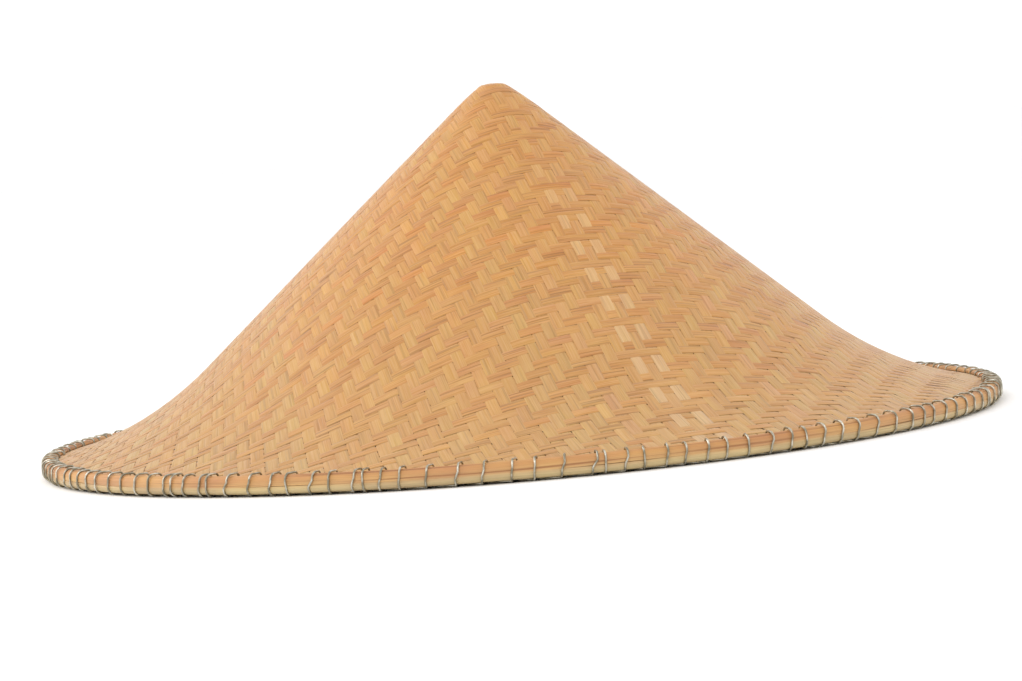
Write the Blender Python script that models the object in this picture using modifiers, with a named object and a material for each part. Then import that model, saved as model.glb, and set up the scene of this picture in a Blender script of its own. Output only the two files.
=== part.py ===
"""A conical sun hat of twill-woven bamboo with a wire-whipped rim.

The hat is built in layers, all turned about +Z: a woven outer layer, a lining of dried
leaves and an openwork inner layer. Two split-bamboo hoops clamp the woven edge at the
rim, and six lengths of galvanised wire whip them together. A bamboo head band hangs
inside on six wire ties. Metres, +Z up; the origin is the middle of the base, at the
underside of the wire turns.
"""
import math

import bmesh
import bpy

# ---- Driving dimensions -------------------------------------------------------------
RIM_RADIUS = 0.2190            # outer face of the two rim hoops
CONE_SLOPE = math.radians(41.2)  # slope of the straight part of the cone
TIP_BENDS = (                  # the tip's bends in section: radius, and slope at the outer end
    (0.024, math.radians(12.0)),  # low cap
    (0.004, math.radians(36.0)),  # tight shoulder
    (0.190, CONE_SLOPE),          # slow bend into the cone
)
FLARE_START_R = 0.1415         # where the cone starts to flare into the brim
FLARE_RADIUS = 0.1575          # radius of the concave flare, in section
BRIM_R = 0.214                 # reference radius near the edge of the brim
BRIM_Z = 0.0070                # height of the woven surface at BRIM_R

WEAVE_THICKNESS = 0.0010
LINING_THICKNESS = 0.0004
OPENWORK_THICKNESS = 0.0010
LAYER_GAP = 0.0003             # clearance between any two neighbouring pieces

HOOP_INNER_R = 0.2135          # inner face of the rim hoops
LOWER_HOOP_BOTTOM_Z = 0.0011
UPPER_HOOP_TOP_Z = 0.0088
HOOP_CHAMFER = 0.0010

WIRE_RADIUS = 0.0005
WIRE_LENGTHS = 6
TURNS_PER_LENGTH = 25
WIRE_SLIT = 2 * (WIRE_RADIUS + LAYER_GAP)   # room for the wire between weave and hoops

BAND_INNER_R = 0.0860
BAND_THICKNESS = 0.0012
BAND_BOTTOM_Z = 0.046
BAND_TOP_Z = 0.076
BINDING_HEIGHT = 0.0040
BINDING_THICKNESS = 0.0020
BINDING_INSET = 0.0010         # how far the band's edge stands past its binding
TIE_COUNT = 6
TIE_RADIUS = 0.0008

OUTER_STEPS = 72               # facets round the weave and the rim
INNER_STEPS = 48               # facets round the layers and rings inside
TIE_SIDES = 8
MERGE_DISTANCE = 0.00001

# ---- Values worked out from them ------------------------------------------------------
FLARE_AXIS_R = FLARE_START_R + FLARE_RADIUS * math.sin(CONE_SLOPE)
LINING_DEPTH = WEAVE_THICKNESS + LAYER_GAP
OPENWORK_DEPTH = LINING_DEPTH + LINING_THICKNESS + LAYER_GAP
INNER_FACE_DEPTH = OPENWORK_DEPTH + OPENWORK_THICKNESS
WEAVE_EDGE_R = HOOP_INNER_R - WIRE_SLIT
LINING_EDGE_R = WEAVE_EDGE_R - 0.003
SELVEDGE_OUTER_R = RIM_RADIUS - 0.0008
WIRE_OUTER_R = RIM_RADIUS + LAYER_GAP + WIRE_RADIUS
WIRE_INNER_R = HOOP_INNER_R - LAYER_GAP - WIRE_RADIUS
WIRE_BOTTOM_Z = LOWER_HOOP_BOTTOM_Z - LAYER_GAP - WIRE_RADIUS + 0.0002
WIRE_TOP_Z = UPPER_HOOP_TOP_Z + LAYER_GAP + WIRE_RADIUS
BAND_OUTER_R = BAND_INNER_R + BAND_THICKNESS
BINDING_INNER_R = BAND_OUTER_R + LAYER_GAP
BINDING_OUTER_R = BINDING_INNER_R + BINDING_THICKNESS

# Finishes: base colour, roughness, metallic
WOVEN_BAMBOO = ("woven_bamboo", (0.68, 0.40, 0.17, 1.0), 0.55, 0.0)
DRIED_LEAF = ("dried_leaf", (0.42, 0.33, 0.17, 1.0), 0.80, 0.0)
PLAIN_SPLINT = ("plain_splint", (0.66, 0.46, 0.24, 1.0), 0.60, 0.0)
CORE_BAMBOO = ("core_bamboo", (0.62, 0.31, 0.12, 1.0), 0.50, 0.0)
SKIN_BAMBOO = ("skin_bamboo", (0.62, 0.58, 0.33, 1.0), 0.40, 0.0)
GALVANISED_WIRE = ("galvanised_wire", (0.45, 0.43, 0.37, 1.0), 0.35, 1.0)


def clear_scene():
    """Remove every object that the file opened with."""
    for item in list(bpy.data.objects):
        bpy.data.objects.remove(item, do_unlink=True)


def make_material(finish):
    """Return the Principled material of a finish, made once."""
    name, colour, roughness, metallic = finish
    material = bpy.data.materials.get(name)
    if material is None:
        material = bpy.data.materials.new(name)
        material.use_nodes = True
        shader = material.node_tree.nodes["Principled BSDF"]
        shader.inputs["Base Color"].default_value = colour
        shader.inputs["Roughness"].default_value = roughness
        shader.inputs["Metallic"].default_value = metallic
        material.diffuse_color = colour
    return material


def add_to_hat(name, data, finish):
    """Link a mesh or curve to the hat's collection as a named object with its finish."""
    data.materials.append(make_material(finish))
    item = bpy.data.objects.new(name, data)
    hat.objects.link(item)
    return item


def flare_height(radius):
    """Height of the flare's arc above its own lowest point."""
    reach = FLARE_AXIS_R - radius
    return FLARE_RADIUS - math.sqrt(FLARE_RADIUS ** 2 - reach ** 2)


def tip_bends():
    """Where each bend of the tip starts, with the radius and drop at the tip's edge."""
    bends, radius, drop, slope = [], 0.0, 0.0, 0.0
    for bend, end_slope in TIP_BENDS:
        bends.append((radius, drop, slope, bend))
        radius += bend * (math.sin(end_slope) - math.sin(slope))
        drop += bend * (math.cos(slope) - math.cos(end_slope))
        slope = end_slope
    return bends, radius, drop


def surface(radius):
    """Height and slope of the hat's outer surface at a radius."""
    if radius >= FLARE_START_R:
        height = BRIM_Z + flare_height(radius) - flare_height(BRIM_R)
        return height, math.asin((FLARE_AXIS_R - radius) / FLARE_RADIUS)
    flare_top = BRIM_Z + flare_height(FLARE_START_R) - flare_height(BRIM_R)
    bends, tip_edge_r, tip_drop = tip_bends()
    if radius >= tip_edge_r:
        return flare_top + (FLARE_START_R - radius) * math.tan(CONE_SLOPE), CONE_SLOPE
    top = flare_top + (FLARE_START_R - tip_edge_r) * math.tan(CONE_SLOPE) + tip_drop
    start_r, drop, start_slope, bend = [entry for entry in bends if entry[0] <= radius][-1]
    slope = math.asin(math.sin(start_slope) + (radius - start_r) / bend)
    return top - drop - bend * (math.cos(start_slope) - math.cos(slope)), slope


def at_depth(radius, depth):
    """Section point a given depth below the outer surface, square to it."""
    height, slope = surface(radius)
    return radius - depth * math.sin(slope), height - depth * math.cos(slope)


def surface_stations(edge_r):
    """Radii where a layer's section needs a point, from the tip to its edge."""
    flare_steps = 5
    bends, tip_edge_r, _ = tip_bends()
    starts = [bend[0] for bend in bends] + [tip_edge_r]
    stations = starts + [(low + high) / 2 for low, high in zip(starts, starts[1:])]
    stations = sorted(stations) + [(tip_edge_r + FLARE_START_R) / 2]
    flare_span = edge_r - FLARE_START_R
    stations += [FLARE_START_R + flare_span * step / flare_steps for step in range(flare_steps + 1)]
    return stations


def make_turned(name, section, finish, steps, closed):
    """Turn a section, listed down its outer side, about +Z into a solid."""
    mesh = bpy.data.meshes.new(name)
    edges = [(i, i + 1) for i in range(len(section) - 1)]
    if closed:
        edges.append((len(section) - 1, 0))
    mesh.from_pydata([(radius, 0.0, height) for radius, height in section], edges, [])
    item = add_to_hat(name, mesh, finish)
    screw = item.modifiers.new("Turn", 'SCREW')
    screw.axis = 'Z'
    screw.steps = steps
    screw.render_steps = steps
    screw.use_merge_vertices = True
    screw.merge_threshold = MERGE_DISTANCE
    screw.use_smooth_shade = True
    return item


def make_layer(name, top_depth, thickness, edge_r, finish, steps):
    """One layer of the cone: a thin turned shell that follows the outer surface."""
    stations = surface_stations(edge_r)
    outside = [at_depth(radius, top_depth) for radius in stations]
    inside = [at_depth(radius, top_depth + thickness) for radius in reversed(stations)]
    return make_turned(name, outside + inside, finish, steps, closed=False)


def make_ring(name, section, finish, steps):
    """A turned ring with a closed section."""
    return make_turned(name, section, finish, steps, closed=True)


def make_selvedge():
    """The woven edge that the two rim hoops clamp, outside the wire's slit."""
    section = [
        at_depth(SELVEDGE_OUTER_R, 0.0),
        at_depth(SELVEDGE_OUTER_R, WEAVE_THICKNESS),
        at_depth(HOOP_INNER_R, WEAVE_THICKNESS),
        at_depth(HOOP_INNER_R, 0.0),
    ]
    return make_ring("weave_selvedge", section, WOVEN_BAMBOO, OUTER_STEPS)


def make_upper_rim_hoop():
    """Split-bamboo hoop on top of the woven edge, its wood side out."""
    outer_bottom = surface(RIM_RADIUS)[0] + LAYER_GAP
    inner_bottom = surface(HOOP_INNER_R)[0] + LAYER_GAP
    section = [
        (HOOP_INNER_R + HOOP_CHAMFER, UPPER_HOOP_TOP_Z),
        (RIM_RADIUS - HOOP_CHAMFER, UPPER_HOOP_TOP_Z),
        (RIM_RADIUS, UPPER_HOOP_TOP_Z - HOOP_CHAMFER),
        (RIM_RADIUS, outer_bottom),
        (HOOP_INNER_R, inner_bottom),
        (HOOP_INNER_R, UPPER_HOOP_TOP_Z - HOOP_CHAMFER),
    ]
    return make_ring("upper_rim_hoop", section, CORE_BAMBOO, OUTER_STEPS)


def make_lower_rim_hoop():
    """Split-bamboo hoop under the woven edge, its green skin out."""
    clearance = WEAVE_THICKNESS + LAYER_GAP
    outer_top = surface(RIM_RADIUS)[0] - clearance
    inner_top = surface(HOOP_INNER_R)[0] - clearance
    section = [
        (HOOP_INNER_R, inner_top),
        (RIM_RADIUS, outer_top),
        (RIM_RADIUS, LOWER_HOOP_BOTTOM_Z + HOOP_CHAMFER),
        (RIM_RADIUS - HOOP_CHAMFER, LOWER_HOOP_BOTTOM_Z),
        (HOOP_INNER_R + HOOP_CHAMFER, LOWER_HOOP_BOTTOM_Z),
        (HOOP_INNER_R, LOWER_HOOP_BOTTOM_Z + HOOP_CHAMFER),
    ]
    return make_ring("lower_rim_hoop", section, SKIN_BAMBOO, OUTER_STEPS)


def wire_route():
    """Points of one length of rim wire: square turns round both hoops."""
    turn_angle = 2 * math.pi / (WIRE_LENGTHS * TURNS_PER_LENGTH)
    corners = [
        (WIRE_INNER_R, WIRE_BOTTOM_Z, 0.0),
        (WIRE_OUTER_R, WIRE_BOTTOM_Z, 0.55),
        (WIRE_OUTER_R, WIRE_TOP_Z, 0.60),
        (WIRE_INNER_R, WIRE_TOP_Z, 0.95),
    ]
    route = []
    for turn in range(TURNS_PER_LENGTH):
        for radius, height, advance in corners:
            angle = (turn + advance) * turn_angle
            route.append((radius * math.cos(angle), radius * math.sin(angle), height))
    return route


def make_rim_wires():
    """Six like lengths of wire, side by side round the rim."""
    route = wire_route()
    curve = bpy.data.curves.new("rim_wire", 'CURVE')
    curve.dimensions = '3D'
    spline = curve.splines.new('POLY')
    spline.points.add(len(route) - 1)
    for point, place in zip(spline.points, route):
        point.co = (*place, 1.0)
    curve.bevel_depth = WIRE_RADIUS
    curve.bevel_resolution = 0
    curve.use_fill_caps = True
    curve.materials.append(make_material(GALVANISED_WIRE))
    for number in range(WIRE_LENGTHS):
        wire = bpy.data.objects.new(f"rim_wire_{number + 1}", curve)
        wire.rotation_euler.z = number * 2 * math.pi / WIRE_LENGTHS
        hat.objects.link(wire)


def make_head_band():
    """Thin bamboo band that rests round the wearer's head."""
    section = [
        (BAND_INNER_R, BAND_TOP_Z),
        (BAND_OUTER_R, BAND_TOP_Z),
        (BAND_OUTER_R, BAND_BOTTOM_Z),
        (BAND_INNER_R, BAND_BOTTOM_Z),
    ]
    return make_ring("head_band", section, PLAIN_SPLINT, INNER_STEPS)


def make_band_binding(name, bottom_z):
    """Binding hoop round the outside of the head band."""
    top_z = bottom_z + BINDING_HEIGHT
    section = [
        (BINDING_INNER_R, top_z),
        (BINDING_OUTER_R, top_z),
        (BINDING_OUTER_R, bottom_z),
        (BINDING_INNER_R, bottom_z),
    ]
    return make_ring(name, section, SKIN_BAMBOO, INNER_STEPS)


def make_head_ties(binding_top_z):
    """Wire ties that hang the head band from the openwork layer."""
    tie_r = (BINDING_INNER_R + BINDING_OUTER_R) / 2
    inner_face_r = tie_r + TIE_RADIUS + INNER_FACE_DEPTH * math.sin(CONE_SLOPE)
    inner_face_z = surface(inner_face_r)[0] - INNER_FACE_DEPTH * math.cos(CONE_SLOPE)
    bottom_z = binding_top_z + LAYER_GAP
    length = inner_face_z - LAYER_GAP - bottom_z
    mesh = bpy.data.meshes.new("head_ring_tie")
    solid = bmesh.new()
    bmesh.ops.create_cone(solid, cap_ends=True, segments=TIE_SIDES,
                          radius1=TIE_RADIUS, radius2=TIE_RADIUS, depth=length)
    solid.to_mesh(mesh)
    solid.free()
    mesh.shade_smooth()
    mesh.set_sharp_from_angle(angle=math.radians(40))
    mesh.materials.append(make_material(GALVANISED_WIRE))
    for number in range(TIE_COUNT):
        angle = number * 2 * math.pi / TIE_COUNT
        tie = bpy.data.objects.new(f"head_ring_tie_{number + 1}", mesh)
        tie.location = (tie_r * math.cos(angle), tie_r * math.sin(angle), bottom_z + length / 2)
        tie.rotation_euler.z = angle
        hat.objects.link(tie)


hat = bpy.data.collections.new("conical_hat")
bpy.context.scene.collection.children.link(hat)

clear_scene()
make_layer("outer_weave", 0.0, WEAVE_THICKNESS, WEAVE_EDGE_R, WOVEN_BAMBOO, OUTER_STEPS)
make_layer("leaf_lining", LINING_DEPTH, LINING_THICKNESS, LINING_EDGE_R, DRIED_LEAF, INNER_STEPS)
make_layer("inner_openwork", OPENWORK_DEPTH, OPENWORK_THICKNESS, LINING_EDGE_R, PLAIN_SPLINT, INNER_STEPS)
make_selvedge()
make_upper_rim_hoop()
make_lower_rim_hoop()
make_rim_wires()
make_head_band()
make_band_binding("head_band_bottom_hoop", BAND_BOTTOM_Z + BINDING_INSET)
make_band_binding("head_band_top_hoop", BAND_TOP_Z - BINDING_INSET - BINDING_HEIGHT)
make_head_ties(BAND_TOP_Z - BINDING_INSET)
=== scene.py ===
"""Finished look of a conical bamboo sun hat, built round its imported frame.

Three sets of splints meet at the tip and cross each other in a two-over, two-under
twill. Two split-bamboo hoops clamp the woven edge and galvanised wire whips them
together. Inside lie a lining of dried leaves, an openwork net and a head band that
hangs on wire ties. Lengths are metres, +Z is up.
"""

import logging
import math
from dataclasses import dataclass, field
from enum import Enum

import bmesh
import bpy
import numpy as np
from mathutils import Matrix, Vector


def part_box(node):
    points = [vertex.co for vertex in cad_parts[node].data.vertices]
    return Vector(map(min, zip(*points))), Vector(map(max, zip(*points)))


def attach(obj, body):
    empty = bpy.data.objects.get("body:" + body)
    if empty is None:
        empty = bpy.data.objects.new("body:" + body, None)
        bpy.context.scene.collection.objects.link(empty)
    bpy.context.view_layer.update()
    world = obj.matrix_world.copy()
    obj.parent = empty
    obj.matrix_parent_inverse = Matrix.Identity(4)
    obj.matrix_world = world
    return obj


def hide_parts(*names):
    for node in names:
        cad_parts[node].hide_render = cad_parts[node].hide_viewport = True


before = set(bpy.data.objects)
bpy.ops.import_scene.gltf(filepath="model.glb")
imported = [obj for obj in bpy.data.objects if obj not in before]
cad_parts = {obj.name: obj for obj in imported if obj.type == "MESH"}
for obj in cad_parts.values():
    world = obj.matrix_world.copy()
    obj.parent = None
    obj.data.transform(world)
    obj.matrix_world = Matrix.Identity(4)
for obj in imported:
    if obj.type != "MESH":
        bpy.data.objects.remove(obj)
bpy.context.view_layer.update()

LOG = logging.getLogger("conical_hat")
BODY = "root"
MM = 0.001
FULL_TURN = 2 * math.pi
SHARP_ANGLE = math.radians(48)
HOOP_WIDTH = 5.5 * MM           # of each rim hoop, from its inner face to its outer one
SEAM_SHARE = 0.42               # height of the seam between the hoops, as a share of both
WIRE_BELOW = 0.5 * MM           # from the lower hoop down to the wire's centre line
WIRE_ABOVE = 0.6 * MM           # from the upper hoop up to the wire's centre line
SPLINT_END = 2.4 * MM           # from the CAD weave's edge in to the ends of the splints
BAND_THICKNESS = 1.2 * MM

Socket = bpy.types.NodeSocket
Colour = tuple[float, float, float]


class Slot(Enum):
    """The record's material slots."""

    WOVEN = "woven_bamboo"
    LEAF = "dried_leaf"
    PLAIN = "plain_splint"
    CORE = "core_bamboo"
    SKIN = "skin_bamboo"
    WIRE = "galvanised_wire"


def colour(red: int, green: int, blue: int) -> Colour:
    """Linear colour of a paint-chart colour whose parts run from 0 to 255."""
    parts = np.array((red, green, blue)) / 255
    linear = np.where(parts <= 0.04045, parts / 12.92, ((parts + 0.055) / 1.055) ** 2.4)
    return tuple(float(part) for part in linear)


# ---- Finishes -------------------------------------------------------------------------


class NodeSheet:
    """A material and short ways to lay down its nodes."""

    def __init__(self, name: str) -> None:
        """Start a Principled material of that name."""
        self.material = bpy.data.materials.new(name)
        self.material.use_nodes = True
        self.tree = self.material.node_tree
        self.shader = self.tree.nodes["Principled BSDF"]

    def node(self, kind: str, feeds: dict[str, object], **options: object) -> bpy.types.Node:
        """Add a node.

        Args:
            kind: The node's type name.
            feeds: Values or sockets for its inputs, by input name or number.
            options: The node's own settings.

        Returns:
            The new node.
        """
        made = self.tree.nodes.new(kind)
        for name, value in options.items():
            setattr(made, name, value)
        for name, value in feeds.items():
            self.feed(made.inputs[name], value)
        return made

    def feed(self, socket: Socket, value: object) -> None:
        """Link a socket to another one, or set it to a plain value."""
        if isinstance(value, bpy.types.NodeSocket):
            self.tree.links.new(value, socket)
        else:
            socket.default_value = value

    def set(self, **values: float) -> None:
        """Set or link the shader's own inputs; an underscore stands for a space."""
        for name, value in values.items():
            self.feed(self.shader.inputs[name.replace("_", " ")], value)

    def attribute(self, name: str, output: str) -> Socket:
        """A mesh attribute's Color, Vector or Fac."""
        return self.node("ShaderNodeAttribute", {}, attribute_name=name).outputs[output]

    def grain(self, along: float, across: float, piece: float = 1.0) -> Socket:
        """The grain coordinates, in millimetres along and across a splint, scaled."""
        feeds = {0: self.attribute("grain", "Vector"), 1: (along, across, piece)}
        return self.node("ShaderNodeVectorMath", feeds, operation='MULTIPLY').outputs[0]

    def noise(self, at: Socket, detail: float = 2.0, rough: float = 0.5) -> Socket:
        """Noise from 0 to 1, one unit of the coordinates to a wave."""
        feeds = {"Vector": at, "Scale": 1.0, "Detail": detail, "Roughness": rough}
        return self.node("ShaderNodeTexNoise", feeds).outputs["Fac"]

    def rescale(self, value: Socket, low: float, high: float, to_low: float, to_high: float) -> Socket:
        """Map low..high to to_low..to_high, held at both ends."""
        feeds = {0: value, 1: low, 2: high, 3: to_low, 4: to_high}
        return self.node("ShaderNodeMapRange", feeds).outputs[0]

    def vary(self, noise: Socket, low: float, high: float) -> Socket:
        """Spread the usual range of a noise over low..high."""
        return self.rescale(noise, 0.3, 0.7, low, high)

    def math(self, operation: str, first: object, second: object = 0.0) -> Socket:
        """One step of arithmetic on two numbers."""
        feeds = {0: first, 1: second}
        return self.node("ShaderNodeMath", feeds, operation=operation).outputs[0]

    def toned(self, base: object, hue: object, saturation: object, value: object) -> Socket:
        """A colour with its hue, saturation and value shifted."""
        feeds = {"Hue": hue, "Saturation": saturation, "Value": value, "Color": base}
        return self.node("ShaderNodeHueSaturation", feeds).outputs[0]

    def blend(self, share: object, first: object, second: object) -> Socket:
        """A mix of two colours."""
        made = self.node("ShaderNodeMix", {0: share}, data_type='RGBA')
        self.feed(made.inputs[6], first)
        self.feed(made.inputs[7], second)
        return made.outputs[2]

    def bump(self, height: Socket, depth: float, strength: float = 1.0) -> None:
        """Raise the surface by height times depth, in metres."""
        feeds = {"Height": height, "Distance": depth, "Strength": strength}
        self.set(Normal=self.node("ShaderNodeBump", feeds).outputs[0])


@dataclass(frozen=True)
class SplintFinish:
    """Split bamboo: fine fibres and grooves along the grain, under a low satin gloss."""

    name: str
    fibre_contrast: float = 0.085
    groove_depth: float = 0.12 * MM
    grooves_per_mm: float = 0.85
    roughness: float = 0.52

    def material(self) -> bpy.types.Material:
        """Lay down the finish; its base colour is each splint's own tint."""
        sheet = NodeSheet(self.name)
        tint = sheet.attribute("tint", "Color")
        patches = sheet.noise(sheet.grain(0.045, 0.14), detail=2)
        fibres = sheet.noise(sheet.grain(0.05, 2.6), detail=3, rough=0.65)
        grooves = sheet.noise(sheet.grain(0.020, self.grooves_per_mm), detail=1)
        dark_lines = sheet.rescale(grooves, 0.30, 0.46, 1.0 - 2.2 * self.fibre_contrast, 1.0)
        fibre_value = sheet.vary(fibres, 1 - self.fibre_contrast, 1 + self.fibre_contrast)
        value = sheet.math('MULTIPLY', fibre_value, dark_lines)
        value = sheet.math('MULTIPLY', value, sheet.vary(patches, 0.95, 1.05))
        hue = sheet.vary(patches, 0.494, 0.506)
        saturation = sheet.vary(fibres, 1.07, 0.94)
        sheet.set(Base_Color=sheet.toned(tint, hue, saturation, value))
        sheet.set(Roughness=sheet.vary(fibres, self.roughness + 0.10, self.roughness - 0.08))
        sheet.set(Sheen_Weight=0.30, Sheen_Roughness=0.25)
        height = sheet.math('MULTIPLY', fibres, 0.30)
        height = sheet.math('ADD', height, sheet.rescale(grooves, 0.25, 0.6, 0.0, 0.70))
        sheet.bump(height, self.groove_depth)
        return sheet.material


@dataclass(frozen=True)
class LeafFinish:
    """Dried bamboo leaf: parallel veins and brown blotches."""

    name: str
    roughness: float = 0.62

    def material(self) -> bpy.types.Material:
        """Lay down the finish; its base colour is each leaf's own tint."""
        sheet = NodeSheet(self.name)
        tint = sheet.attribute("tint", "Color")
        veins = sheet.noise(sheet.grain(0.01, 0.9), detail=2)
        blotches = sheet.noise(sheet.grain(0.06, 0.09), detail=4, rough=0.6)
        value = sheet.math(
            'MULTIPLY',
            sheet.rescale(veins, 0.35, 0.65, 0.82, 1.12),
            sheet.vary(blotches, 0.72, 1.18),
        )
        sheet.set(Base_Color=sheet.toned(tint, sheet.vary(blotches, 0.49, 0.51), 1.0, value))
        sheet.set(Roughness=sheet.vary(blotches, self.roughness + 0.12, self.roughness - 0.06))
        sheet.bump(veins, 0.12 * MM)
        return sheet.material


@dataclass(frozen=True)
class HoopFinish:
    """Split pole of a rim hoop: long fibres, brown grain lines and weathered patches."""

    name: str
    line_colour: Colour
    line_amount: float
    roughness: float

    def material(self) -> bpy.types.Material:
        """Lay down the finish; its base colour is the hoop's own tint."""
        sheet = NodeSheet(self.name)
        tint = sheet.attribute("tint", "Color")
        fibres = sheet.noise(sheet.grain(0.030, 3.2), detail=3, rough=0.6)
        lines = sheet.noise(sheet.grain(0.007, 0.62), detail=2, rough=0.6)
        patches = sheet.noise(sheet.grain(0.022, 0.10), detail=3)
        value = sheet.math('MULTIPLY', sheet.vary(fibres, 0.86, 1.10), sheet.vary(patches, 0.86, 1.10))
        toned = sheet.toned(tint, sheet.vary(patches, 0.490, 0.508), 1.0, value)
        share = sheet.rescale(lines, 0.56, 0.66, 0.0, self.line_amount)
        sheet.set(Base_Color=sheet.blend(share, toned, (*self.line_colour, 1.0)))
        sheet.set(Roughness=sheet.vary(fibres, self.roughness + 0.10, self.roughness - 0.06))
        sheet.bump(sheet.math('SUBTRACT', fibres, share), 0.14 * MM)
        return sheet.material


@dataclass(frozen=True)
class WireFinish:
    """Galvanised wire: dull zinc with brighter rubbed patches."""

    name: str
    dull: Colour
    bright: Colour

    def material(self) -> bpy.types.Material:
        """Lay down the finish."""
        sheet = NodeSheet(self.name)
        patches = sheet.noise(sheet.grain(0.30, 0.30), detail=3)
        spangle = sheet.noise(sheet.grain(2.0, 2.0), detail=1)
        mix = sheet.rescale(patches, 0.42, 0.66, 0.0, 1.0)
        sheet.set(Base_Color=sheet.blend(mix, (*self.dull, 1.0), (*self.bright, 1.0)))
        sheet.set(Metallic=0.9, Roughness=sheet.rescale(patches, 0.35, 0.65, 0.46, 0.26))
        sheet.bump(spangle, 0.02 * MM)
        return sheet.material


# ---- Making meshes --------------------------------------------------------------------


@dataclass
class Stock:
    """The lengths of one material that are made up into one piece."""

    name: str
    slot: Slot
    replaced: tuple[str, ...]
    points: list[np.ndarray] = field(default_factory=list)
    grains: list[np.ndarray] = field(default_factory=list)
    tints: list[np.ndarray] = field(default_factory=list)
    faces: list[tuple[int, ...]] = field(default_factory=list)
    used: int = 0

    def add_bar(self, rings: np.ndarray, grain: np.ndarray, tint: Colour | np.ndarray,
                looped: bool = False) -> None:
        """Add a bar that is swept through rings of points.

        Args:
            rings: Points, as stations along the bar by points round its section.
            grain: Millimetres along and across and a number for the bar, of like shape.
            tint: The bar's base colour, or one for each station or point.
            looped: Whether its last station joins its first.
        """
        stations, round_count = rings.shape[:2]
        spans = stations if looped else stations - 1
        here = (np.arange(spans) % stations)[:, None] * round_count
        ahead = ((np.arange(spans) + 1) % stations)[:, None] * round_count
        this = np.arange(round_count)[None, :]
        following = (this + 1) % round_count
        corners = (here + this, here + following, ahead + following, ahead + this)
        quads = np.stack([corner.ravel() for corner in corners], axis=1) + self.used
        self.faces.extend(map(tuple, quads.tolist()))
        if not looped:
            first = self.used
            last = self.used + (stations - 1) * round_count
            self.faces.append(tuple(range(first + round_count - 1, first - 1, -1)))
            self.faces.append(tuple(range(last, last + round_count)))
        count = stations * round_count
        self.points.append(rings.reshape(count, 3))
        self.grains.append(grain.reshape(count, 3))
        tints = np.broadcast_to(np.asarray(tint, float), rings.shape)
        self.tints.append(np.insert(tints.reshape(count, 3), 3, 1.0, axis=1))
        self.used += count

    def make_up(self, material: bpy.types.Material) -> bpy.types.Object:
        """Turn the stock into a piece that rides on the hat and stands for its CAD nodes.

        Args:
            material: The piece's finish.

        Returns:
            The new object.
        """
        mesh = bpy.data.meshes.new(self.name)
        mesh.from_pydata(np.concatenate(self.points).tolist(), [], self.faces)
        grain = mesh.attributes.new("grain", 'FLOAT_VECTOR', 'POINT')
        grain.data.foreach_set("vector", np.concatenate(self.grains).ravel())
        tint = mesh.attributes.new("tint", 'FLOAT_COLOR', 'POINT')
        tint.data.foreach_set("color", np.concatenate(self.tints).ravel())
        solid = bmesh.new()
        solid.from_mesh(mesh)
        bmesh.ops.recalc_face_normals(solid, faces=solid.faces)
        solid.to_mesh(mesh)
        solid.free()
        mesh.shade_smooth()
        mesh.set_sharp_from_angle(angle=SHARP_ANGLE)
        mesh.materials.append(material)
        piece = add_object(self.name, mesh)
        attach(piece, BODY)
        if self.replaced:
            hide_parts(*self.replaced)
        LOG.info("%s: %d faces", self.name, len(mesh.polygons))
        return piece


def add_object(name: str, data: object) -> bpy.types.Object:
    """A new object in the scene, made of a mesh, a light or a camera."""
    made = bpy.data.objects.new(name, data)
    bpy.context.scene.collection.objects.link(made)
    return made


def round_points(radius: np.ndarray, azimuth: np.ndarray, height: np.ndarray) -> np.ndarray:
    """Points round the hat's axis, from arrays whose shapes fit together."""
    parts = np.broadcast_arrays(radius * np.cos(azimuth), radius * np.sin(azimuth), height)
    return np.stack(parts, axis=-1)


def grain_map(along: np.ndarray, across: np.ndarray, number: object) -> np.ndarray:
    """Grain coordinates, from metres along and across a bar and the bar's number."""
    return np.stack(np.broadcast_arrays(along / MM, across / MM, number), axis=-1)


def wander(rng: np.random.Generator, at: np.ndarray, waves: tuple[float, ...]) -> np.ndarray:
    """A smooth random line of about unit size: a few sine waves of the given lengths."""
    phases = rng.uniform(0, FULL_TURN, len(waves))
    total = sum(np.sin(FULL_TURN * at / wave + phase) for wave, phase in zip(waves, phases))
    return total / math.sqrt(len(waves))


# ---- The cone -------------------------------------------------------------------------


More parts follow.
